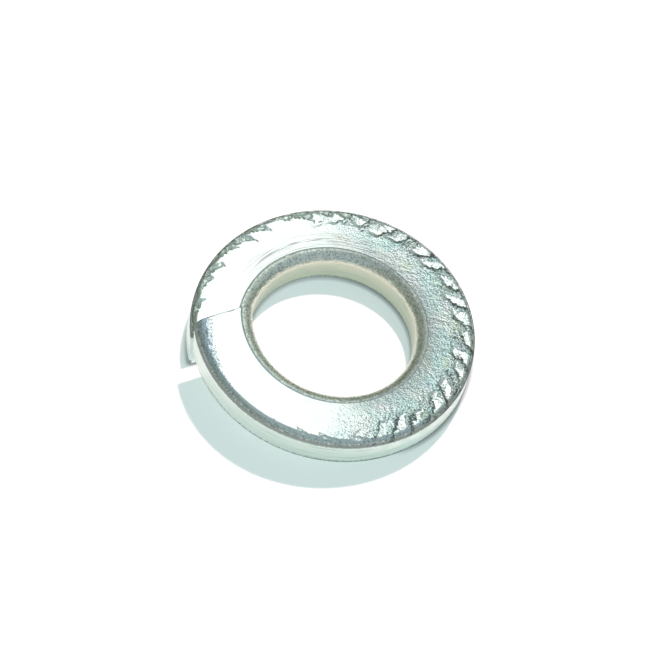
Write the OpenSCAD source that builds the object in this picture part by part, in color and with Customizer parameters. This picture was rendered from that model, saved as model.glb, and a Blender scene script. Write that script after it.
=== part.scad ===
// Spring lock washer: one turn of rectangular wire, cut across on a slant, its two ends sprung apart.
// Lengths in mm. The bore axis is Z, the low end touches z = 0, azimuths are seen from above (0 is +X).
// The coil is left-handed: from the low end it rises clockwise round to the high end.

/* [Ring] */
// Outside diameter of the ring
outer_d = 18.1; // [16:0.1:22]
// Bore diameter
bore_d = 10.5; // [8:0.1:12]
// Thickness of the wire along the bore axis
thick = 2.3; // [1.8:0.1:3.5]
// Rise of the helix over one turn, which is how far the ends are sprung apart
rise = 1.6; // [0.6:0.1:3]

/* [Corners] */
// Rounding of the upper outer corner
top_outer_round = 0.45; // [0.2:0.05:0.8]
// Rounding of the upper bore corner
top_bore_round = 0.7; // [0.2:0.05:0.9]
// Rounding of the lower outer corner
foot_outer_round = 0.2; // [0.1:0.05:0.6]
// Rounding of the lower bore corner
foot_bore_round = 0.2; // [0.1:0.05:0.6]

/* [Split] */
// Azimuth of the cut at the middle of the wire
split_az = 198.5; // [150:0.5:230]
// Gap between the two cut faces, square to them in plan
gap_w = 0.25; // [0.1:0.05:1.5]
// Turn of the cut away from the radial line, in plan
cut_skew = 18; // [0:1:30]
// Lean of the cut faces away from the bore axis
cut_lean = 25; // [0:1:35]

/* [Feed marks] */
// Turn along the wire from the low end to the first mark that the feed roll left on the upper outer edge
mark_start = 27; // [20:1:60]
// Turn from the first mark to the last
mark_span = 246; // [60:1:270]
// Turn between neighbouring marks
mark_pitch = 9.8; // [6:0.1:15]
// Length of a mark, from its tip on the face to the outer wall
mark_len = 1.45; // [0.6:0.05:2]
// Width that a mark would have at the outer wall if the corner were sharp
mark_width = 0.9; // [0.4:0.05:1.2]
// Depth that a mark would have there
mark_depth = 0.19; // [0.08:0.01:0.3]
// Lean of a mark away from the radial line, its tip towards the low end
mark_lean = 40; // [0:1:45]

/* [Hidden] */
outer_r = outer_d / 2;
bore_r = bore_d / 2;
mid_r = (outer_r + bore_r) / 2;

// The swept section runs past both walls by this much, and the true cylinders trim it
past_wall = 0.15;
// Steps along the turn, and angle steps of the two corner sizes
ring_steps = 96;
outer_step = 22.5;
bore_step = 18;
foot_step = 30;

// Fine circles for the two walls
wall_fn = 180;

// Extra length of the trimming cylinders above and below the coil
spare = 1;
coil_h = thick + rise;

// The marks differ from one another: length as a share, place and lean in degrees
mark_len_spread = 0.15;
mark_az_spread = 1.1;
mark_lean_spread = 6;
// A mark's axis runs this far above the face, so that its tip fades out
mark_lift = 0.03;
// A mark starts as this share of what it is at the outer wall
mark_tip_share = 0.06;
// Its deepest line lies off its middle by this share of the half width, so one flank is steep and one gentle
mark_bias = 0.6;

// Repeatable wobble between -1 and 1 for mark i, a different one for each seed
function wobble(i, seed) = sin(i * 137.5 + seed * 71 + 40 * sin(i * 53 + seed * 29));

// Azimuth at which the cut plane, moved by off, meets radius r at height z
function plane_az(r, z, off) =
    let (p = (thick / 2 - z) * tan(cut_lean) + off,
         bx = mid_r - p * sin(cut_skew),
         by = p * cos(cut_skew),
         bd = bx * cos(cut_skew) + by * sin(cut_skew),
         u = -bd + sqrt(r * r - bx * bx - by * by + bd * bd))
    split_az + atan2(by + u * sin(cut_skew), bx + u * cos(cut_skew));

// Height that the helix adds at an azimuth, nothing at the lowest corner of the low end
low_corner_az = plane_az(outer_r - foot_outer_round, 0, -gap_w / 2);
function lift_at(az) = rise * (low_corner_az - az) / 360;

// Azimuth of the cut for a point of the section, whose height follows the helix
function cut_az(r, z, off, n = 3) =
    n == 0 ? plane_az(r, z, off)
           : plane_az(r, z + lift_at(cut_az(r, z, off, n - 1)), off);

function corner(cx, cz, round, from, step, n) =
    [for (k = [0 : n - 1]) [cx + round * cos(from + k * step), cz + round * sin(from + k * step)]];

// Wire section as radius and height, run from the upper bore corner round by the outer wall
section = concat(
    [for (q = corner(bore_r + top_bore_round, thick - top_bore_round, top_bore_round, 180 - bore_step, -bore_step, 90 / bore_step)) q],
    corner(outer_r - top_outer_round, thick - top_outer_round, top_outer_round, 90, -outer_step, 90 / outer_step),
    [[outer_r + past_wall, (thick - top_outer_round + foot_outer_round) / 2]],
    corner(outer_r - foot_outer_round, foot_outer_round, foot_outer_round, -foot_step, -foot_step, 90 / foot_step),
    corner(bore_r + foot_bore_round, foot_bore_round, foot_bore_round, -90, -foot_step, 90 / foot_step),
    [[bore_r - past_wall, (thick - top_bore_round + foot_bore_round) / 2]]
);
sides = len(section);

low_az = [for (q = section) cut_az(q[0], q[1], -gap_w / 2)];
high_az = [for (q = section) cut_az(q[0], q[1], gap_w / 2) - 360];

// One turn of the wire, from the low cut face round to the high one
module coil() {
    points = [for (i = [0 : ring_steps]) for (j = [0 : sides - 1])
        let (q = section[j], az = low_az[j] + (high_az[j] - low_az[j]) * i / ring_steps)
        [q[0] * cos(az), q[0] * sin(az), q[1] + lift_at(az)]];
    skin = [for (i = [0 : ring_steps - 1]) for (j = [0 : sides - 1])
        let (k = (j + 1) % sides, a = i * sides + j, b = i * sides + k, c = a + sides, d = b + sides)
        each [[a, b, c], [b, d, c]]];
    low_face = [[for (j = [sides - 1 : -1 : 0]) j]];
    high_face = [[for (j = [0 : sides - 1]) ring_steps * sides + j]];
    polyhedron(points, concat(skin, low_face, high_face), convexity = 6);
}

// One mark: a shallow V that widens and deepens outwards and fades out over the rounded corner
module feed_mark(i) {
    az = split_az - mark_start - i * mark_pitch + mark_az_spread * wobble(i, 1);
    len = mark_len * (1 + mark_len_spread * wobble(i, 2));
    half_w = mark_width / 2 * mark_tip_share;
    depth = (mark_depth + mark_lift) * mark_tip_share;
    growth = (1 / mark_tip_share - 1) / len;
    rotate([0, 0, az])
        translate([outer_r, 0, thick + lift_at(az) + mark_lift])
            rotate([0, 0, -mark_lean - mark_lean_spread * wobble(i, 3)])
                translate([-len, 0, 0])
                    rotate([0, 90, 0])
                        linear_extrude(height = len + spare, scale = 1 + growth * (len + spare))
                            polygon([[depth, -mark_bias * half_w], [0, half_w], [-depth, 0], [0, -half_w]]);
}

module spring_washer() {
    color([0.78, 0.8, 0.79])
        difference() {
            intersection() {
                coil();
                translate([0, 0, -spare]) cylinder(d = outer_d, h = coil_h + 2 * spare, $fn = wall_fn);
            }
            translate([0, 0, -spare]) cylinder(d = bore_d, h = coil_h + 2 * spare, $fn = wall_fn);
            for (i = [0 : floor(mark_span / mark_pitch)]) feed_mark(i);
        }
}

spring_washer();
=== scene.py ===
"""A zinc plated spring lock washer, wound from square-edged wire and sheared through, on a pale floor."""
import math

import bmesh
import bpy
import numpy as np
from mathutils import Matrix, Vector, noise


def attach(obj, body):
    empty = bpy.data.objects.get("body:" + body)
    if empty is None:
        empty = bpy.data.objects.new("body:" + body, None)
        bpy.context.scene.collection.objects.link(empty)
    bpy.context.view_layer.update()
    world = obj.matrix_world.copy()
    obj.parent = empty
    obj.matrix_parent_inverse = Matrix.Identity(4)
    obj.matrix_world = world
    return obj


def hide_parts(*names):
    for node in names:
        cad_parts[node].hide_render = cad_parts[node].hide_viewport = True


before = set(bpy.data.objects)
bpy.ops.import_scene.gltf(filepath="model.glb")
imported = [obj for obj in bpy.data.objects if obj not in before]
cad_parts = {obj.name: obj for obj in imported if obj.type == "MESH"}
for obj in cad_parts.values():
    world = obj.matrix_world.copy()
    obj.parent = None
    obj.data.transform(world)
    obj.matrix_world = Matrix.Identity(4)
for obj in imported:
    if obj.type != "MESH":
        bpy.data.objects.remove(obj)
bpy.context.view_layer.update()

MM = 0.001

# Sizes of the wire and the coil, as in the part's source
OUTER_R = 9.05 * MM
BORE_R = 5.25 * MM
THICK = 2.3 * MM
RISE = 1.6 * MM
TOP_OUTER_ROUND = 0.45 * MM
TOP_BORE_ROUND = 0.7 * MM
FOOT_OUTER_ROUND = 0.2 * MM
FOOT_BORE_ROUND = 0.2 * MM
MID_R = (OUTER_R + BORE_R) / 2

# The cut through the wire. Azimuths are in degrees, 0 at the photo's right and 90 away from the camera
SPLIT_AZ = 198.5
GAP_W = 0.25 * MM
CUT_SKEW = math.radians(18)
CUT_LEAN = math.radians(25)
CUT_EDGE_ROUND = 0.06 * MM
CUT_EDGE_STEPS = 2

# Feed marks on the upper outer edge, in degrees. They lie within MARK_ZONE wave reaches of the rim
MARK_START = 27
MARK_SPAN = 246
MARK_PITCH = 9.8
MARK_AZ_SPREAD = 1.1
MARK_REACH_SPREAD = 0.18
MARK_ZONE = 1.4
# Coarse side: slanted waves. Across one, as shares of the pitch, come a drop, a bed that rises to a
# crest, and a fall. The dips are the hollows on both sides of the bed, where shade is painted darker
WAVE_REACH = 1.35 * MM
WAVE_TURN = 8.5
WAVE_DEPTH = 0.058 * MM
WAVE_PAST_RIM = 1.1
WAVE_GROWN = (0, 0.18, 1)
WAVE_RISE = (0, 1, 0.75)
WAVE_AT = (0, 0.08, 0.62, 1)
WAVE_SHAPE = (0.5, 1, 0, 0.5)
BED_AT = (0.04, 0.12, 0.54, 0.64)
BED_SHAPE = (0, 1, 1, 0)
DIP_GAIN = 2.2
DIP_AT = (0, 0.08, 0.14, 0.7, 0.9, 1)
DIP_SHAPE = (1, 0.9, 0, 0, 0.8, 1)
# Smooth side: fins that fall away to the rim, each with one sharp edge
FIN_REACH = 0.98 * MM
FIN_TURN = 10.5
FIN_BACK_TURN = 1.2
FIN_PAST_RIM = 1.2
FIN_GROWN = (0, 0.22, 0.4, 0.58, 1)
FIN_WIDTH = (0.03, 0.1, 0.4, 0.92, 1)
FIN_FALL = (0, 0.12, 0.4, 0.6, 1)
FIN_DEPTH = 0.2 * MM
FIN_AT = (0, 0.3, 0.88, 1)
FIN_SHAPE = (0, 0.6, 1, 0)
# Smaller marks before the first one, by the cut, and after the last one
NICKS_BEFORE = 2
NICK_BEFORE_SHARE = 0.85
NICKS_AFTER = 2
NICK_AFTER_SHARE = 0.56
# How the marks' edges stray: bumps to the millimetre and where they start, then how far they turn an
# edge in degrees and push it along the radius in millimetres
WANDER = (1.2, (5.0, 1.0, 9.0))
WANDER_TURN = 1.6
WANDER_REACH = 0.14
JITTER = (4.6, (2.0, 8.0, 4.0))
JITTER_TURN = 1.1
JITTER_TURN_COARSE = 0.2
JITTER_REACH = 0.1

# The side of the face with the coarser skin
COARSE_AZ = 13
COARSE_SPREAD = 52
COARSE_FADE = 56
# Its bumps: how many to the millimetre and where they start, and their heights in mm
SWELL = (0.55, (0, 0, 3.0))
SWELL_HEIGHT = 0.004
LUMPS = (2.7, (0, 0, 11.0))
LUMP_HEIGHT = 0.0022
CRUMBS = (4.6, (0, 0, 23.0))
CRUMB_HEIGHT = 0.0025
LEAST_LUMPS = 0.15
BED_FLATTENS = 0.75

# The raised end's outer corner, rolled down by the shear
CORNER_SPREAD = 55
CORNER_WIDTH = 0.9 * MM
CORNER_TAPER = 1.1
CORNER_LUMPS = 0.25
CORNER_CRUMBS = 0.12
CORNER_SLOPE = 0.12

# Fineness of the skin
RINGS = 760
TOP_CUTS = 34
WALL_CUTS = 14
FOOT_CUTS = 11
BORE_CUTS = 10
TOP_ROUND_STEPS = 10
BORE_ROUND_STEPS = 16
FOOT_ROUND_STEPS = 4
SMOOTH_ANGLE = math.radians(40)

# Places of the materials on the piece
ROLLED_FACE, DRAWN_WALL, SHEARED_END = 0, 1, 2


# Small helpers for modelling by hand

def clear_selection():
    if bpy.context.mode != "OBJECT":
        bpy.ops.object.mode_set(mode="OBJECT")
    bpy.ops.object.select_all(action="DESELECT")


def edit(piece):
    clear_selection()
    bpy.context.view_layer.objects.active = piece
    piece.select_set(True)
    bpy.ops.object.mode_set(mode="EDIT")
    bpy.ops.mesh.select_all(action="DESELECT")
    return bmesh.from_edit_mesh(piece.data)


def leave_edit():
    bpy.ops.object.mode_set(mode="OBJECT")


def start_selection(piece, kind):
    bpy.ops.mesh.select_mode(type=kind)
    bpy.ops.mesh.select_all(action="DESELECT")
    return bmesh.from_edit_mesh(piece.data)


# The wire and the coil

def round_corner(piece, x, z, radius, steps):
    mesh = start_selection(piece, "VERT")
    near = min(mesh.verts, key=lambda v: (v.co.x - x) ** 2 + (v.co.z - z) ** 2)
    near.select = True
    mesh.select_flush_mode()
    bmesh.update_edit_mesh(piece.data)
    bpy.ops.mesh.bevel(offset=radius, offset_type="OFFSET", segments=steps, affect="VERTICES",
                       clamp_overlap=False)


def divide_side(piece, on_side, cuts):
    mesh = start_selection(piece, "EDGE")
    for e in mesh.edges:
        if all(on_side(v.co) for v in e.verts):
            e.select = True
    bmesh.update_edit_mesh(piece.data)
    bpy.ops.mesh.subdivide(number_cuts=cuts)


def wire_section():
    """The wire's section, an outline with its four corners rounded."""
    clear_selection()
    middle = (MID_R, 0, THICK / 2)
    bpy.ops.mesh.primitive_plane_add(size=1, location=middle, rotation=(math.pi / 2, 0, 0))
    piece = bpy.context.object
    piece.scale = (OUTER_R - BORE_R, THICK, 1)
    bpy.ops.object.transform_apply(location=True, rotation=True, scale=True)
    edit(piece)
    round_corner(piece, OUTER_R, THICK, TOP_OUTER_ROUND, TOP_ROUND_STEPS)
    round_corner(piece, BORE_R, THICK, TOP_BORE_ROUND, BORE_ROUND_STEPS)
    round_corner(piece, OUTER_R, 0, FOOT_OUTER_ROUND, FOOT_ROUND_STEPS)
    round_corner(piece, BORE_R, 0, FOOT_BORE_ROUND, FOOT_ROUND_STEPS)
    hair = 0.001 * MM
    divide_side(piece, lambda p: p.z > THICK - hair, TOP_CUTS)
    divide_side(piece, lambda p: p.x > OUTER_R - hair, WALL_CUTS)
    divide_side(piece, lambda p: p.z < hair, FOOT_CUTS)
    divide_side(piece, lambda p: p.x < BORE_R + hair, BORE_CUTS)
    bpy.ops.mesh.select_mode(type="FACE")
    bpy.ops.mesh.select_all(action="SELECT")
    bpy.ops.mesh.delete(type="ONLY_FACE")
    leave_edit()
    return piece


def plane_az(r, z, off):
    """Azimuth at which the cut plane, moved by off, meets radius r at height z."""
    p = (THICK / 2 - z) * math.tan(CUT_LEAN) + off
    bx, by = MID_R - p * math.sin(CUT_SKEW), p * math.cos(CUT_SKEW)
    bd = bx * math.cos(CUT_SKEW) + by * math.sin(CUT_SKEW)
    u = -bd + math.sqrt(r * r - bx * bx - by * by + bd * bd)
    return SPLIT_AZ + math.degrees(math.atan2(by + u * math.sin(CUT_SKEW), bx + u * math.cos(CUT_SKEW)))


LOW_CORNER_AZ = plane_az(OUTER_R - FOOT_OUTER_ROUND, 0, -GAP_W / 2)


def lift_at(az):
    """How far the coil has risen at an azimuth, from nothing at the lower end's lowest corner."""
    return RISE * (LOW_CORNER_AZ - az) / 360


def cut_az(r, z, off):
    """The same azimuth on the risen wire, found in a few steps because the rise depends on it."""
    az = plane_az(r, z, off)
    for _ in range(3):
        az = plane_az(r, z + lift_at(az), off)
    return az


def wind_coil(piece):
    """Winds the section once round, then slants the rings so that the two ends lie in the cut planes."""
    winding = piece.modifiers.new("winding", "SCREW")
    winding.axis = "Z"
    winding.angle = 2 * math.pi
    winding.screw_offset = -RISE
    winding.steps = winding.render_steps = RINGS
    winding.use_merge_vertices = False
    bpy.ops.object.modifier_apply(modifier=winding.name)
    mesh = piece.data
    spots = np.empty(len(mesh.vertices) * 3)
    mesh.vertices.foreach_get("co", spots)
    spots = spots.reshape(RINGS + 1, -1, 3)
    radius, height = spots[0, :, 0], spots[0, :, 2]
    high_az = np.array([cut_az(r, z, GAP_W / 2) - 360 for r, z in zip(radius, height)])
    low_az = np.array([cut_az(r, z, -GAP_W / 2) for r, z in zip(radius, height)])
    share = np.linspace(0, 1, RINGS + 1)[:, None]
    az = high_az + (low_az - high_az) * share
    turn = np.radians(az)
    wound = np.stack([radius * np.cos(turn), radius * np.sin(turn), height + lift_at(az)], -1)
    mesh.vertices.foreach_set("co", wound.ravel())
    wire = mesh.attributes.new("wire", "FLOAT_VECTOR", "POINT")
    place = np.stack([az + 0 * radius, radius / MM + 0 * az, height / MM + 0 * az], -1)
    wire.data.foreach_set("vector", place.ravel())
    to_cut = mesh.attributes.new("to_cut", "FLOAT", "POINT")
    arc = np.radians(np.minimum(az - high_az, low_az - az)) * radius / MM
    to_cut.data.foreach_set("value", arc.ravel())
    mesh.update()


def close_ends(piece):
    """Caps the two ends and eases the rims of the cut faces."""
    mesh = edit(piece)
    bpy.ops.mesh.select_mode(type="EDGE")
    for e in mesh.edges:
        e.select = e.is_boundary
    bmesh.update_edit_mesh(piece.data)
    bpy.ops.mesh.fill_holes(sides=0)
    bpy.ops.mesh.select_all(action="SELECT")
    bpy.ops.mesh.normals_make_consistent(inside=False)
    mesh = start_selection(piece, "EDGE")
    for f in mesh.faces:
        if len(f.verts) > 4:
            f.material_index = SHEARED_END
    for e in mesh.edges:
        e.select = any(len(f.verts) > 4 for f in e.link_faces)
    bmesh.update_edit_mesh(piece.data)
    bpy.ops.mesh.bevel(offset=CUT_EDGE_ROUND, offset_type="OFFSET", segments=CUT_EDGE_STEPS,
                       affect="EDGES")
    leave_edit()


# The marks and the grain of rolling

def coarse_side(az):
    """1 on the side where the skin is coarse, 0 on the smooth side."""
    away = np.abs(az - COARSE_AZ)
    share = np.clip((COARSE_SPREAD + COARSE_FADE - away) / COARSE_FADE, 0, 1)
    return share ** 2 * (3 - 2 * share)


def wobble(i, seed):
    """Repeatable wobble between -1 and 1 for mark i, the one in the part's source."""
    deg = math.radians
    return math.sin(deg(i * 137.5 + seed * 71 + 40 * math.sin(deg(i * 53 + seed * 29))))


def bumps(spots, per_mm, start):
    """Smooth bumps between about -1 and 1 at each spot, the same in each run."""
    start = np.array(start)
    return np.array([noise.noise(p * per_mm + start) for p in spots / MM])


def feed_wave(az, radius, mark_az, longer, coarse):
    """A slanted wave of the coarse side: how high it stands, and the share across it, at each spot."""
    reach = WAVE_REACH * longer
    grown = np.clip((radius - (OUTER_R - reach)) / reach, 0, WAVE_PAST_RIM)
    share = (az - (mark_az + WAVE_TURN * (1 - grown))) / MARK_PITCH
    rise = np.interp(grown, WAVE_GROWN, WAVE_RISE) * coarse * ((share > 0) & (share < 1))
    return rise, share


def feed_fin(az, radius, mark_az, longer, coarse):
    """A fin of the smooth side: how far inside it each spot lies, and its fall towards the rim."""
    reach = FIN_REACH * longer
    grown = np.clip((radius - (OUTER_R - reach)) / reach, 0, FIN_PAST_RIM)
    back_edge = mark_az - FIN_TURN + FIN_BACK_TURN * grown
    width = (FIN_TURN - FIN_BACK_TURN) * np.interp(grown, FIN_GROWN, FIN_WIDTH)
    share = (az - back_edge) / width
    inside = (1 - coarse) * np.interp(share, FIN_AT, FIN_SHAPE, 0, 0) * (grown > 0)
    return inside, np.interp(grown, FIN_GROWN, FIN_FALL)


def press_feed_marks(place, spots):
    """Presses the feed roll's teeth into the upper outer edge. Returns masks of beds, dips and fins."""
    az, radius, height = place[:, 0], place[:, 1] * MM, place[:, 2] * MM
    near = np.nonzero((height > THICK / 2) & (radius > OUTER_R - MARK_ZONE * WAVE_REACH))[0]
    wander, jitter = bumps(spots[near], *WANDER), bumps(spots[near], *JITTER)
    az, radius = az[near], radius[near]
    face_z = THICK + lift_at(az)
    az = az + WANDER_TURN * wander + (JITTER_TURN + JITTER_TURN_COARSE * coarse_side(az)) * jitter
    radius = radius + (WANDER_REACH * wander + JITTER_REACH * jitter) * MM
    sunk, bed, dip, fin = (np.zeros(len(near)) for _ in range(4))
    marks = int(MARK_SPAN / MARK_PITCH) + 1
    for i in range(-NICKS_BEFORE, marks + NICKS_AFTER):
        mark_az = SPLIT_AZ - MARK_START - i * MARK_PITCH + MARK_AZ_SPREAD * wobble(i, 1)
        nicked = NICK_BEFORE_SHARE if i < 0 else NICK_AFTER_SHARE if i >= marks else 1
        longer = (1 + MARK_REACH_SPREAD * wobble(i, 2)) * nicked
        coarse = coarse_side(mark_az)
        rise, share = feed_wave(az, radius, mark_az, longer, coarse)
        sunk = np.maximum(sunk, WAVE_DEPTH * rise * np.interp(share, WAVE_AT, WAVE_SHAPE))
        bed = np.maximum(bed, rise * np.interp(share, BED_AT, BED_SHAPE))
        dipped = np.minimum(1, DIP_GAIN * rise)
        dip = np.maximum(dip, dipped * np.interp(share, DIP_AT, DIP_SHAPE))
        inside, fall = feed_fin(az, radius, mark_az, longer, coarse)
        sunk = np.maximum(sunk, FIN_DEPTH * fall * inside)
        fin = np.maximum(fin, inside)
    spots[near, 2] = np.where(sunk > 0, np.minimum(spots[near, 2], face_z - sunk), spots[near, 2])
    pressed = np.zeros((len(spots), 3))
    pressed[near] = np.stack([bed, dip, fin], -1)
    return pressed


def roll_grain(place, spots, normals, bed):
    """Raises the skin left by rolling, coarser on the worn side, and rolls the end's corner down."""
    top = np.nonzero(place[:, 2] * MM > THICK - TOP_BORE_ROUND)[0]
    az, radius = place[top, 0], place[top, 1] * MM
    outward = np.clip((radius - BORE_R) / (OUTER_R - BORE_R), 0, 1)
    swell, lumps, crumbs = (bumps(spots[top], *kind) for kind in (SWELL, LUMPS, CRUMBS))
    coarseness = (LEAST_LUMPS + coarse_side(az) * outward) * (1 - BED_FLATTENS * bed[top])
    raised = SWELL_HEIGHT * swell + coarseness * (LUMP_HEIGHT * lumps + CRUMB_HEIGHT * crumbs)
    spots[top] += normals[top] * (raised * MM)[:, None]
    past_end = np.clip((az + 360 - SPLIT_AZ) / CORNER_SPREAD, 0, 1)
    uneven = 1 + CORNER_LUMPS * lumps + CORNER_CRUMBS * crumbs
    width = CORNER_WIDTH * (1 - past_end) ** CORNER_TAPER * uneven
    rolled = np.maximum(radius - (OUTER_R - width), 0)
    spots[top, 2] -= np.where(past_end < 1, CORNER_SLOPE * rolled, 0)


def spring_washer_skin():
    """The whole washer as one closed skin, with its marks and its grain."""
    piece = wire_section()
    piece.name = piece.data.name = "spring_washer_skin"
    wind_coil(piece)
    close_ends(piece)
    mesh = piece.data
    spots, normals, place = (np.empty(len(mesh.vertices) * 3) for _ in range(3))
    mesh.vertices.foreach_get("co", spots)
    mesh.vertex_normals.foreach_get("vector", normals)
    mesh.attributes["wire"].data.foreach_get("vector", place)
    spots, normals, place = (a.reshape(-1, 3) for a in (spots, normals, place))
    pressed = press_feed_marks(place, spots)
    mesh.attributes.new("mark", "FLOAT_VECTOR", "POINT").data.foreach_set("vector", pressed.ravel())
    roll_grain(place, spots, normals, pressed[:, 0])
    mesh.vertices.foreach_set("co", spots.ravel())
    mesh.update()
    clear_selection()
    bpy.context.view_layer.objects.active = piece
    piece.select_set(True)
    bpy.ops.object.shade_smooth_by_angle(angle=SMOOTH_ANGLE)
    return piece


# Shader helpers

def new_group(name, inputs, outputs):
    group = bpy.data.node_groups.new(name, "ShaderNodeTree")
    for in_out, sockets in (("INPUT", inputs), ("OUTPUT", outputs)):
        for label, kind, *value in sockets:
            socket = group.interface.new_socket(label, in_out=in_out, socket_type="NodeSocket" + kind)
            if value:
                socket.default_value = value[0]
    return group, group.nodes.new("NodeGroupInput").outputs, group.nodes.new("NodeGroupOutput").inputs


def feed(tree, socket, value):
    if isinstance(value, bpy.types.NodeSocket):
        tree.links.new(value, socket)
    else:
        socket.default_value = value


def add(tree, kind, inputs=None, **settings):
    node = tree.nodes.new("ShaderNode" + kind)
    for key, value in settings.items():
        setattr(node, key, value)
    for key, value in (inputs or {}).items():
        feed(tree, node.inputs[key], value)
    return node


def calc(tree, operation, a, b=0.0):
    return add(tree, "Math", {0: a, 1: b}, operation=operation).outputs[0]


def plus(tree, a, b):
    return calc(tree, "ADD", a, b)


def minus(tree, a, b):
    return calc(tree, "SUBTRACT", a, b)


def times(tree, first, *others):
    for other in others:
        first = calc(tree, "MULTIPLY", first, other)
    return first


def larger(tree, first, *others):
    for other in others:
        first = calc(tree, "MAXIMUM", first, other)
    return first


def ramp(tree, value, low, high, out_low=0.0, out_high=1.0):
    """A soft step: out_low up to low, out_high from high on."""
    node = add(tree, "MapRange", {"Value": value, "From Min": low, "From Max": high,
                                  "To Min": out_low, "To Max": out_high}, interpolation_type="SMOOTHSTEP")
    return node.outputs["Result"]


def blend_colour(tree, share, a, b):
    """Colour a, turned into colour b by the share. Sockets 6 and 7 are the Mix node's two colours."""
    return add(tree, "Mix", {0: share, 6: a, 7: b}, data_type="RGBA").outputs[2]


def cloud_at(tree, where, scale, detail):
    return add(tree, "TexNoise", {"Vector": where, "Scale": scale, "Detail": detail}).outputs["Fac"]


def object_place(tree):
    return add(tree, "TexCoord").outputs["Object"]


def written_on_skin(tree, name):
    """The three numbers kept on the skin's vertices under a name."""
    written = add(tree, "Attribute", attribute_name=name).outputs["Vector"]
    return add(tree, "SeparateXYZ", {0: written}).outputs


def wire_place(tree):
    """Azimuth in degrees, radius and height in millimetres along the wire."""
    return written_on_skin(tree, "wire")


def mark_place(tree):
    """How far a spot lies on the bed of a feed mark, in its dip and in a fin."""
    return written_on_skin(tree, "mark")


def coarse_mask(tree, az, least):
    away = calc(tree, "ABSOLUTE", minus(tree, az, COARSE_AZ))
    return ramp(tree, away, COARSE_SPREAD, COARSE_SPREAD + COARSE_FADE, 1.0, least)


# Soft steps across the wire, in millimetres of radius or of height above the wire's foot: from, to, and
# the share of the look before and after, 0 and 1 where they aren't given
ABOVE_FOOT = (1.0, 1.3)
PAST_CORNER_LINE = (-0.06, 0.06)
CORNER_FADES = (0.02, 0.2)


def rolled_corner(tree, az, radius, height, ragged):
    """1 where the raised end's corner was rolled down, with a ragged edge."""
    past_end = ramp(tree, az, SPLIT_AZ - 360, SPLIT_AZ - 360 + CORNER_SPREAD, 1.0, 0.0)
    inner = minus(tree, OUTER_R / MM, times(tree, past_end, CORNER_WIDTH / MM))
    out = minus(tree, plus(tree, radius, ragged), inner)
    ragged_edge = times(tree, ramp(tree, out, *PAST_CORNER_LINE), ramp(tree, past_end, *CORNER_FADES))
    return times(tree, ragged_edge, ramp(tree, height, *ABOVE_FOOT))


# Rolled grain
FINE_GRAIN = (8000.0, 1.0)
BROAD_GRAIN = (3300.0, 2.0)
FACET_WEIGHT, FINE_WEIGHT, BROAD_WEIGHT = 0.8, 1.8, 2.6
LEAST_GRAIN = 0.08
BORE_ROUND_GRAIN = (5.93, 6.12, 0.75, 0.0)
OUTWARD_GRAIN = (5.9, 8.4, 0.35, 1.0)
CORNER_GRAIN = 0.4
FIN_GRAIN = 0.6
OUTWARD_SPECKS = (6.3, 8.3, 0.15, 1.0)
SPECK_LEVEL = (0.55, 0.64)
BED_CLEARS = 0.75
# Painted shade in the feed marks' dips
DIP_SHADE = 0.7
DIP_LEVEL = (0.92, 1.04)


def grain_group():
    """Rolled skin: small facets, coarser on the worn side and outwards, flatter on the marks' beds."""
    tree, given, out = new_group(
        "rolled_grain",
        [("Facet size", "Float", 7000.0), ("Facet height", "Float", 1.0), ("Bed height", "Float", 0.25)],
        [("Height", "Float"), ("Specks", "Float")])
    az, radius, height = wire_place(tree)
    bed, dip, fin = mark_place(tree)
    spot = object_place(tree)
    worn = coarse_mask(tree, az, LEAST_GRAIN)
    facet = add(tree, "TexVoronoi", {"Vector": spot, "Scale": given["Facet size"]}, feature="F1")
    fine, broad = cloud_at(tree, spot, *FINE_GRAIN), cloud_at(tree, spot, *BROAD_GRAIN)
    facets = times(tree, facet.outputs["Distance"], FACET_WEIGHT)
    peel = plus(tree, facets, times(tree, fine, FINE_WEIGHT))
    peel = plus(tree, peel, times(tree, broad, BROAD_WEIGHT))
    corner = rolled_corner(tree, az, radius, height, minus(tree, fine, 0.5))
    in_bore = times(tree, ramp(tree, radius, *BORE_ROUND_GRAIN), ramp(tree, height, *ABOVE_FOOT))
    outwards = times(tree, ramp(tree, radius, *OUTWARD_GRAIN), worn)
    strength = larger(tree, outwards, times(tree, corner, CORNER_GRAIN), in_bore,
                      times(tree, fin, FIN_GRAIN))
    bedded = times(tree, bed, minus(tree, 1.0, given["Bed height"]))
    strength = times(tree, strength, given["Facet height"], minus(tree, 1.0, bedded))
    tree.links.new(times(tree, peel, strength), out["Height"])
    worn_out = times(tree, worn, ramp(tree, radius, *OUTWARD_SPECKS))
    specks = times(tree, ramp(tree, fine, *SPECK_LEVEL), worn_out)
    clear = minus(tree, 1.0, times(tree, bed, BED_CLEARS))
    # Painted shade in the feed marks' dips, laid over the grain's specks
    painted_dip_shade = ramp(tree, plus(tree, fine, times(tree, dip, DIP_SHADE)), *DIP_LEVEL)
    tree.links.new(larger(tree, times(tree, specks, clear), painted_dip_shade), out["Specks"])
    return tree


# Lines rubbed round the face near the bore, between two radii and two azimuths
RUB_PER_DEGREE = 0.02
RUB_LAYER = 4.0
RUB_LINE = (0.0, 0.045, 1.0, 0.0)
RUB_FROM_R = (6.0, 6.3)
RUB_TO_R = (6.9, 7.4, 1.0, 0.0)
RUB_FROM_AZ = (50.0, 80.0)
RUB_TO_AZ = (140.0, 165.0, 1.0, 0.15)


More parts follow.
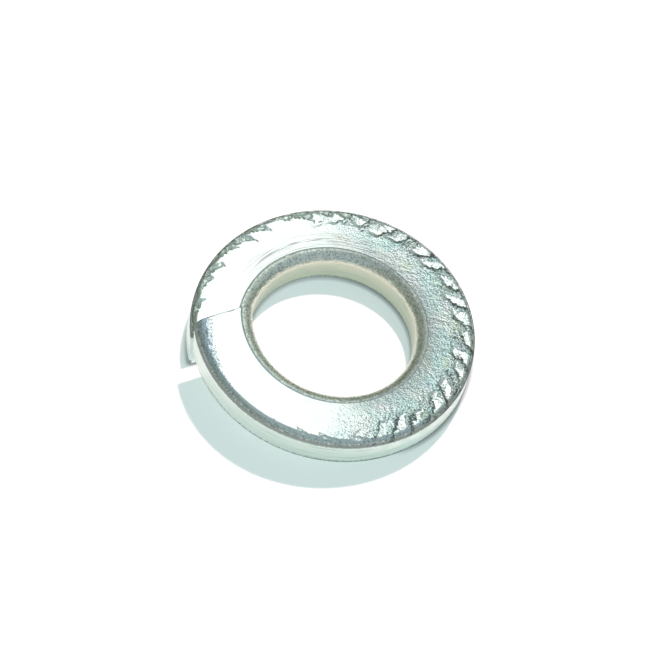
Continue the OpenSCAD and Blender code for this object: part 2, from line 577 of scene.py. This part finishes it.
def rub_lines_group():
    """A few thin lines rubbed round the face near the bore."""
    tree, given, out = new_group("rub_lines", [("Spacing", "Float", 7.0)], [("Lines", "Float")])
    az, radius, _ = wire_place(tree)
    path = add(tree, "CombineXYZ", {0: times(tree, az, RUB_PER_DEGREE),
                                    1: times(tree, radius, given["Spacing"]), 2: RUB_LAYER}).outputs[0]
    waves = cloud_at(tree, path, 1.0, 2.0)
    thin = ramp(tree, calc(tree, "ABSOLUTE", minus(tree, waves, 0.5)), *RUB_LINE)
    ring = times(tree, ramp(tree, radius, *RUB_FROM_R), ramp(tree, radius, *RUB_TO_R))
    arc = times(tree, ramp(tree, az, *RUB_FROM_AZ), ramp(tree, az, *RUB_TO_AZ))
    tree.links.new(times(tree, thin, ring, arc), out["Lines"])
    return tree


STREAK_LEVEL = (0.5, 0.64)


def drawn_lines_group():
    """Lines drawn along the wire's walls, following its rise."""
    tree, given, out = new_group(
        "drawn_lines", [("Fineness", "Float", 5.0), ("Streak length", "Float", 0.028)],
        [("Height", "Float"), ("Streaks", "Float")])
    az, radius, height = wire_place(tree)
    along = times(tree, az, given["Streak length"])
    up = times(tree, height, given["Fineness"])
    path = add(tree, "CombineXYZ", {0: along, 1: up, 2: radius}).outputs[0]
    coarse = add(tree, "TexNoise", {"Vector": path, "Scale": 1.0, "Detail": 4.0, "Roughness": 0.6})
    tree.links.new(coarse.outputs["Fac"], out["Height"])
    tree.links.new(ramp(tree, coarse.outputs["Fac"], *STREAK_LEVEL), out["Streaks"])
    return tree


# Clouds in the plate: scale and detail, then the levels at which each tint comes in
CLOUDS = (650.0, 5.0)
STAINS = (1100.0, 3.0)
FINE_STAINS = (6500.0, 2.0)
PITS = (7600.0, 3.0)
LEAST_STAIN = 0.12
CYAN_LEVEL = (0.4, 0.62, 0.0, 0.8)
YELLOW_LEVEL = (0.52, 0.68, 0.0, 0.45)
LAVENDER_LEVEL = (0.34, 0.48, 0.3, 0.0)
PIT_LEVEL = (0.46, 0.62, 0.0, 0.52)
BED_BURNISH = 0.8
# The outer rounding, the dark edge under it, painted shade which stands a little higher where it faces
# away from the camera, and the foot of the outer wall, with its painted contact shade
ROUND_RAGGED = 0.25
AT_RIM = (8.2, 8.5)
ABOVE_WALL = (1.72, 1.82)
BELOW_FACE = (2.2, 2.28, 1.0, 0.0)
DARK_EDGE = (2.13, 2.22, 1.0, 0.0)
DARK_EDGE_RISE = 0.09
DARK_EDGE_AWAY = 0.1
ABOVE_ROUND = (2.14, 2.2)
FIN_DULL = 0.8
FOOT_RAGGED = 0.4
# How much higher, in mm, the painted foot shade stands on the coarse side
FOOT_SHADE_RISE = 0.12
AT_OUTER_WALL = (8.8, 8.92)
OUTER_FOOT = (0.12, 0.32, 1.0, 0.0)
# The bore's rounding, the face beside it, its wall and its foot, where contact shade is painted
BORE_RAGGED = 0.6
ON_BORE_ROUND = (5.9, 6.0, 1.0, 0.0)
BESIDE_BORE_FROM = (5.55, 5.85)
BESIDE_BORE_TO = (6.0, 7.5, 0.55, 0.0)
ON_BORE_WALL = (5.25, 5.38, 1.0, 0.0)
BORE_FOOT = (0.15, 0.35, 0.85, 0.0)
# The cut's dark line on the face, painted shade of the gap: its width in mm over the stains, its fade,
# its breaks, its lower limit
CUT_WIDTH = (0.45, 0.62, 0.07, 0.14)
CUT_FADE = (0.6, 1.1, 1.0, 0.0)
CUT_BREAKS = (0.38, 0.5, 0.7, 1.0)
CUT_ABOVE = (2.0, 2.25)
# Roughness of the plate
ROUGH_CORNER = (2.1, 2.28, 0.34, 0.14)
ROUGH_BORE_ROUND = (5.92, 6.0, 0.32, 0.0)
ROUGH_FIN = 0.3
ROUGH_CLOUDS = (0.3, 0.7, 0.0, 0.04)


def rim_masks(tree, az, radius, height, uneven):
    """The outer rounding, the painted shade of the dark edge under it, and the corner rolled down at the
    raised end.
    """
    rounded = plus(tree, height, times(tree, uneven, ROUND_RAGGED))
    at_rim = ramp(tree, radius, *AT_RIM)
    above_wall = ramp(tree, rounded, *ABOVE_WALL)
    outer = times(tree, at_rim, ramp(tree, rounded, *BELOW_FACE), above_wall)
    # Painted shade under the rounding, set a little higher where the wire faces away from the camera
    sine = calc(tree, "SINE", times(tree, az, math.radians(1)))
    facing_away = calc(tree, "MINIMUM", sine, DARK_EDGE_AWAY)
    from_edge = minus(tree, rounded, times(tree, facing_away, DARK_EDGE_RISE))
    painted_edge_shade = times(tree, at_rim, ramp(tree, from_edge, *DARK_EDGE), above_wall)
    rolled = rolled_corner(tree, az, radius, height, uneven)
    return outer, painted_edge_shade, times(tree, rolled, ramp(tree, rounded, *ABOVE_ROUND))


def zinc_tone_group():
    """Zinc plate: a cold pale grey with faint clouds, dull at the corners, tan in the bore, with painted
    shade under the outer rounding, at the walls' feet and along the cut.
    """
    tree, given, out = new_group(
        "zinc_tone",
        [("Plate", "Color", (0.8, 0.84, 0.83, 1)), ("Cyan", "Color", (0.62, 0.82, 0.82, 1)),
         ("Yellow", "Color", (0.8, 0.88, 0.68, 1)), ("Lavender", "Color", (0.74, 0.74, 0.84, 1)),
         ("Bore side", "Color", (0.44, 0.44, 0.45, 1)), ("Burnished", "Color", (0.97, 0.99, 0.98, 1)),
         ("Corner", "Color", (0.78, 0.86, 0.79, 1)), ("Corner foot", "Color", (0.26, 0.30, 0.28, 1)),
         ("Tan", "Color", (0.7, 0.7, 0.56, 1)), ("Bore corner", "Color", (0.98, 1.0, 0.9, 1)),
         ("Grime", "Color", (0.26, 0.31, 0.28, 1)), ("Cut", "Color", (0.08, 0.08, 0.09, 1)),
         ("Blue corner", "Color", (0.76, 0.87, 0.98, 1))],
        [("Color", "Color"), ("Roughness", "Float"), ("Edge tint", "Color")])
    az, radius, height = wire_place(tree)
    bed, _, fin = mark_place(tree)
    spot = object_place(tree)
    clouds, stains = cloud_at(tree, spot, *CLOUDS), cloud_at(tree, spot, *STAINS)
    fine, pits = cloud_at(tree, spot, *FINE_STAINS), cloud_at(tree, spot, *PITS)
    uneven = minus(tree, fine, 0.5)
    worn = coarse_mask(tree, az, LEAST_STAIN)
    outer, painted_edge_shade, blue = rim_masks(tree, az, radius, height, uneven)
    ragged_height = plus(tree, height, times(tree, uneven, FOOT_RAGGED))
    # Painted contact shade at the outer wall's foot, standing higher on the coarse side
    foot_height = minus(tree, ragged_height, times(tree, worn, FOOT_SHADE_RISE))
    painted_foot_shade = times(tree, ramp(tree, radius, *AT_OUTER_WALL), ramp(tree, foot_height, *OUTER_FOOT))
    bore_edge = plus(tree, radius, times(tree, uneven, BORE_RAGGED))
    inner = times(tree, ramp(tree, bore_edge, *ON_BORE_ROUND), ramp(tree, height, *ABOVE_FOOT))
    beside_bore = times(tree, ramp(tree, radius, *BESIDE_BORE_FROM),
                        ramp(tree, radius, *BESIDE_BORE_TO), worn)
    wall = ramp(tree, radius, *ON_BORE_WALL)
    # Painted contact shade at the bore wall's foot
    painted_bore_foot_shade = times(tree, wall, ramp(tree, ragged_height, *BORE_FOOT))
    on_round = larger(tree, minus(tree, inner, wall), outer, blue)
    # Dark specks on the roundings
    speckled_rounds = times(tree, ramp(tree, pits, *PIT_LEVEL), on_round)
    # Painted shade of the gap along the cut, as a dark line on the face
    to_cut = add(tree, "Attribute", attribute_name="to_cut").outputs["Fac"]
    from_line = calc(tree, "DIVIDE", to_cut, ramp(tree, stains, *CUT_WIDTH))
    painted_cut_shade = times(tree, ramp(tree, from_line, *CUT_FADE), ramp(tree, fine, *CUT_BREAKS),
                     ramp(tree, height, *CUT_ABOVE))
    colour = given["Plate"]
    for share, tint in (
            (times(tree, ramp(tree, clouds, *CYAN_LEVEL), worn), "Cyan"),
            (times(tree, ramp(tree, stains, *YELLOW_LEVEL), worn), "Yellow"),
            (times(tree, ramp(tree, stains, *LAVENDER_LEVEL), worn), "Lavender"),
            (times(tree, bed, BED_BURNISH), "Burnished"),
            (larger(tree, outer, times(tree, fin, FIN_DULL)), "Corner"),
            # Painted shade under the outer rounding and at the outer wall's foot
            (painted_edge_shade, "Corner foot"), (painted_foot_shade, "Corner foot"), (blue, "Blue corner"),
            (inner, "Bore corner"), (beside_bore, "Bore side"), (wall, "Tan"),
            # Painted shade at the bore wall's foot, dark specks on the roundings, and painted shade of
            # the gap along the cut
            (painted_bore_foot_shade, "Grime"), (speckled_rounds, "Grime"), (painted_cut_shade, "Cut")):
        colour = blend_colour(tree, share, colour, given[tint])
    tree.links.new(colour, out["Color"])
    # Painted shade in the mirrored light under the outer rounding
    tree.links.new(blend_colour(tree, painted_edge_shade, (1, 1, 1, 1), given["Corner foot"]), out["Edge tint"])
    dull = larger(tree, ramp(tree, height, *ROUGH_CORNER), ramp(tree, radius, *ROUGH_BORE_ROUND),
                  times(tree, fin, ROUGH_FIN))
    tree.links.new(plus(tree, dull, ramp(tree, clouds, *ROUGH_CLOUDS)), out["Roughness"])
    return tree


def place_group(tree, group, **values):
    node = add(tree, "Group")
    node.node_tree = group
    for name, value in values.items():
        node.inputs[name.replace("_", " ")].default_value = value
    return node.outputs


def new_material(name):
    material = bpy.data.materials.new(name)
    material.use_nodes = True
    tree = material.node_tree
    shader = tree.nodes["Principled BSDF"]
    shader.inputs["Metallic"].default_value = 1.0
    return material, tree, shader


def raise_bump(tree, shader, height, distance):
    bump = add(tree, "Bump", {"Height": height, "Distance": distance, "Strength": 1.0})
    tree.links.new(bump.outputs["Normal"], shader.inputs["Normal"])


# Shares and colours of the dark looks laid over the plate, the walls' tints, and the depths of the bumps
# The specks' dark colour also paints the shade in the feed marks' dips
SPECK_SHARE, SPECK_DARK = 0.8, (0.1, 0.12, 0.12, 1)
RUB_SHARE, RUB_DARK = 0.9, (0.3, 0.27, 0.25, 1)
STREAK_SHARE, STREAK_DARK = 0.58, (0.5, 0.62, 0.52, 1)
STREAK_ROUGH = 0.12
END_ROUGH = 0.42
END_FACETS = 3000.0
FACE_BUMP = 0.014 * MM
WALL_BUMP = 0.02 * MM
END_BUMP = 0.02 * MM


def rolled_face_material(grain, rub, tone):
    material, tree, shader = new_material("zinc_rolled_face")
    skin = place_group(tree, grain)
    lines = place_group(tree, rub)["Lines"]
    plate = place_group(tree, tone)
    # Dark specks of the grain, and painted shade in the feed marks' dips
    colour = blend_colour(tree, times(tree, skin["Specks"], SPECK_SHARE), plate["Color"], SPECK_DARK)
    colour = blend_colour(tree, times(tree, lines, RUB_SHARE), colour, RUB_DARK)
    tree.links.new(colour, shader.inputs["Base Color"])
    tree.links.new(plate["Roughness"], shader.inputs["Roughness"])
    # Painted shade in the mirrored light under the outer rounding
    tree.links.new(plate["Edge tint"], shader.inputs["Specular Tint"])
    raise_bump(tree, shader, skin["Height"], FACE_BUMP)
    return material


def drawn_wall_material(lines, tone):
    material, tree, shader = new_material("zinc_drawn_wall")
    drawn = place_group(tree, lines)
    plate = place_group(tree, tone, Plate=(0.78, 0.86, 0.79, 1), Cyan=(0.72, 0.87, 0.81, 1),
                        Yellow=(0.82, 0.88, 0.74, 1), Lavender=(0.78, 0.84, 0.8, 1))
    streaks = times(tree, drawn["Streaks"], STREAK_SHARE)
    tree.links.new(blend_colour(tree, streaks, plate["Color"], STREAK_DARK), shader.inputs["Base Color"])
    rough = plus(tree, plate["Roughness"], times(tree, drawn["Streaks"], STREAK_ROUGH))
    tree.links.new(rough, shader.inputs["Roughness"])
    raise_bump(tree, shader, drawn["Height"], WALL_BUMP)
    return material


def sheared_end_material(grain, tone):
    material, tree, shader = new_material("zinc_sheared_end")
    skin = place_group(tree, grain, Facet_size=END_FACETS)
    plate = place_group(tree, tone, Plate=(0.84, 0.93, 0.88, 1), Cut=(0.78, 0.87, 0.82, 1))
    tree.links.new(plate["Color"], shader.inputs["Base Color"])
    shader.inputs["Roughness"].default_value = END_ROUGH
    raise_bump(tree, shader, skin["Height"], END_BUMP)
    return material


def dress(piece):
    """Gives the walls the drawn look, the sheared ends theirs, and all else the rolled one."""
    grain, rub, lines, tone = grain_group(), rub_lines_group(), drawn_lines_group(), zinc_tone_group()
    for material in (rolled_face_material(grain, rub, tone), drawn_wall_material(lines, tone),
                     sheared_end_material(grain, tone)):
        piece.data.materials.append(material)
    place = np.empty(len(piece.data.vertices) * 3)
    piece.data.attributes["wire"].data.foreach_get("vector", place)
    radius = place.reshape(-1, 3)[:, 1]
    hair = 0.005
    on_outer_wall, on_bore_wall = radius > OUTER_R / MM - hair, radius < BORE_R / MM + hair
    for face in piece.data.polygons:
        if face.material_index == SHEARED_END:
            continue
        corners = list(face.vertices)
        on_wall = on_outer_wall[corners].all() or on_bore_wall[corners].all()
        face.material_index = DRAWN_WALL if on_wall else ROLLED_FACE


# The floor that the washer rests on. It is matt, so that it shows the shadow, and glows a little to the
# camera and in mirrored rays, so that the shadow stays as pale and blue as the photo's
FLOOR_SIDES = 64
FLOOR_REACH = 0.7
FLOOR_MATT = (0.6, 0.6, 0.6, 1)
FLOOR_GLOW = (0.415, 0.507, 0.489, 1)
TOUCH_REACH = 0.35 * MM
TOUCH_POWER = 1.3
FACING_DOWN = -0.5


def rest_plane(piece):
    """The plane that the washer rests on: the side of its hull that lies under the bore's middle."""
    mesh = bmesh.new()
    for v in piece.data.vertices:
        if v.co.z < THICK / 2:
            mesh.verts.new(v.co)
    bmesh.ops.convex_hull(mesh, input=mesh.verts)
    best = None
    for face in mesh.faces:
        if face.normal.z > FACING_DOWN:
            continue
        a, b, c = (v.co.xy for v in face.verts[:3])
        sides = [(q - p).cross(-p) for p, q in ((a, b), (b, c), (c, a))]
        if all(s <= 0 for s in sides) or all(s >= 0 for s in sides):
            best = face.verts[0].co.copy(), -face.normal.copy()
    mesh.free()
    return best


def floor_material():
    """Pale floor, a little darker right where the washer touches it."""
    material = bpy.data.materials.new("pale_floor")
    material.use_nodes = True
    tree = material.node_tree
    tree.nodes.clear()
    touching = add(tree, "AmbientOcclusion", {"Distance": TOUCH_REACH}).outputs["AO"]
    near_shade = calc(tree, "POWER", touching, TOUCH_POWER)
    matt = add(tree, "BsdfDiffuse", {"Color": blend_colour(tree, near_shade, (0, 0, 0, 1), FLOOR_MATT)})
    paths = add(tree, "LightPath").outputs
    seen = larger(tree, paths["Is Camera Ray"], paths["Is Glossy Ray"])
    glow = add(tree, "Emission", {"Color": FLOOR_GLOW, "Strength": times(tree, seen, near_shade)})
    both = add(tree, "AddShader", {0: matt.outputs[0], 1: glow.outputs[0]})
    add(tree, "OutputMaterial", {0: both.outputs[0]})
    return material


def lay_floor(piece):
    touch, normal = rest_plane(piece)
    middle = Vector((0, 0, touch.dot(normal) / normal.z))
    clear_selection()
    bpy.ops.mesh.primitive_circle_add(vertices=FLOOR_SIDES, radius=FLOOR_REACH, fill_type="NGON",
                                      location=middle)
    floor = bpy.context.object
    floor.name = "floor"
    floor.rotation_mode = "QUATERNION"
    floor.rotation_quaternion = normal.to_track_quat("Z", "Y")
    floor.data.materials.append(floor_material())


# The photograph's camera
VIEW_EL = math.radians(56.75)
VIEW_ROLL = math.radians(15.67)
VIEW_DISTANCE = 60 * OUTER_R
PIXELS_PER_R = 142.63
IMAGE_PIXELS = 665
OFF_CENTRE_PIXELS = Vector((5.4, 18.5))
SENSOR_WIDTH = 36
RIGHT = Vector((1, 0, 0))


def set_camera():
    back = Vector((0, -math.cos(VIEW_EL), math.sin(VIEW_EL)))
    up = back.cross(RIGHT)
    across = math.cos(VIEW_ROLL) * RIGHT + math.sin(VIEW_ROLL) * up
    upward = -math.sin(VIEW_ROLL) * RIGHT + math.cos(VIEW_ROLL) * up
    off_centre = across * OFF_CENTRE_PIXELS.x + upward * OFF_CENTRE_PIXELS.y
    place = back * VIEW_DISTANCE + off_centre * OUTER_R / PIXELS_PER_R
    lens = bpy.data.cameras.new("camera")
    camera = bpy.data.objects.new("camera", lens)
    bpy.context.collection.objects.link(camera)
    camera.matrix_world = Matrix.Translation(place) @ Matrix((across, upward, back)).transposed().to_4x4()
    lens.sensor_width = SENSOR_WIDTH
    lens.lens = lens.sensor_width * PIXELS_PER_R * VIEW_DISTANCE / OUTER_R / IMAGE_PIXELS
    lens.clip_start, lens.clip_end = 0.01, 10
    bpy.context.scene.camera = camera


# The key lamp throws the washer's shadow. The softbox stands where the upper face mirrors it, turned so
# that its long edge runs past the ring's right side
KEY_STRENGTH = 3.3
KEY_COLOUR = (1.0, 0.71, 0.78)
KEY_WIDTH = math.radians(3)
KEY_PLACE = Vector((0.025, 0.61, 1.0))
SOFTBOX_BRIGHTNESS = 1.02
SOFTBOX_SIZE = (0.050, 0.030)
SOFTBOX_DISTANCE = 0.12
SOFTBOX_TURN = math.radians(28.5)
SOFTBOX_SHIFT = Vector((-0.0044, 0.0087))


def set_key_lamp():
    key = bpy.data.lights.new("key", "SUN")
    key.energy = KEY_STRENGTH
    key.color = KEY_COLOUR
    key.angle = KEY_WIDTH
    lamp = bpy.data.objects.new("key", key)
    bpy.context.collection.objects.link(lamp)
    lamp.location = KEY_PLACE
    lamp.rotation_mode = "QUATERNION"
    lamp.rotation_quaternion = KEY_PLACE.to_track_quat("Z", "Y")
    lamp.visible_glossy = False


def set_softbox():
    box = bpy.data.lights.new("softbox", "AREA")
    box.shape = "RECTANGLE"
    box.size, box.size_y = SOFTBOX_SIZE
    box.energy = SOFTBOX_BRIGHTNESS * math.pi * box.size * box.size_y
    lamp = bpy.data.objects.new("softbox", box)
    bpy.context.collection.objects.link(lamp)
    away = Vector((0, math.cos(VIEW_EL), math.sin(VIEW_EL)))
    up = RIGHT.cross(away)
    along = (math.cos(SOFTBOX_TURN) * RIGHT + math.sin(SOFTBOX_TURN) * up).normalized()
    place = away * SOFTBOX_DISTANCE + RIGHT * SOFTBOX_SHIFT.x + up * SOFTBOX_SHIFT.y
    facing = Matrix((along, away.cross(along), away)).transposed().to_4x4()
    lamp.matrix_world = Matrix.Translation(place) @ facing
    lamp.visible_camera = False
    lamp.visible_diffuse = False


# The room that the metal mirrors: its colours, and where each sets in along the room's axes
ROOM_FRONT = (0.36, 0.44, 0.48, 1)
ROOM_BEHIND = (0.40, 0.48, 0.45, 1)
ROOM_LOW = (0.20, 0.23, 0.19, 1)
ROOM_ASIDE = (0.26, 0.30, 0.27, 1)
BEHIND_FROM = (0.0, 0.5)
ASIDE_FROM = (0.22, 0.42)
LOW_BELOW = (0.35, 0.65, 1.0, 0.0)
LOW_BEHIND = (-0.5, 0.0)


def set_world():
    """A dim room, bluish in front and above, lighter behind the softbox and dark towards the horizon."""
    world = bpy.data.worlds.new("room")
    world.use_nodes = True
    bpy.context.scene.world = world
    tree = world.node_tree
    tree.nodes.clear()
    across, back, up = add(tree, "SeparateXYZ", {0: add(tree, "TexCoord").outputs["Generated"]}).outputs
    colour = blend_colour(tree, ramp(tree, back, *BEHIND_FROM), ROOM_FRONT, ROOM_BEHIND)
    aside = ramp(tree, times(tree, across, -1.0), *ASIDE_FROM)
    colour = blend_colour(tree, aside, colour, ROOM_ASIDE)
    low = times(tree, ramp(tree, up, *LOW_BELOW), ramp(tree, back, *LOW_BEHIND))
    colour = blend_colour(tree, low, colour, ROOM_LOW)
    seen = add(tree, "LightPath").outputs["Is Camera Ray"]
    colour = blend_colour(tree, seen, colour, (1, 1, 1, 1))
    light = add(tree, "Background", {"Color": colour, "Strength": 1.0})
    add(tree, "OutputWorld", {0: light.outputs[0]})


skin = spring_washer_skin()
dress(skin)
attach(skin, "root")
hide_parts("spring_washer")

set_camera()
lay_floor(skin)
set_key_lamp()
set_softbox()
set_world()
bpy.context.scene.view_settings.view_transform = "Standard"
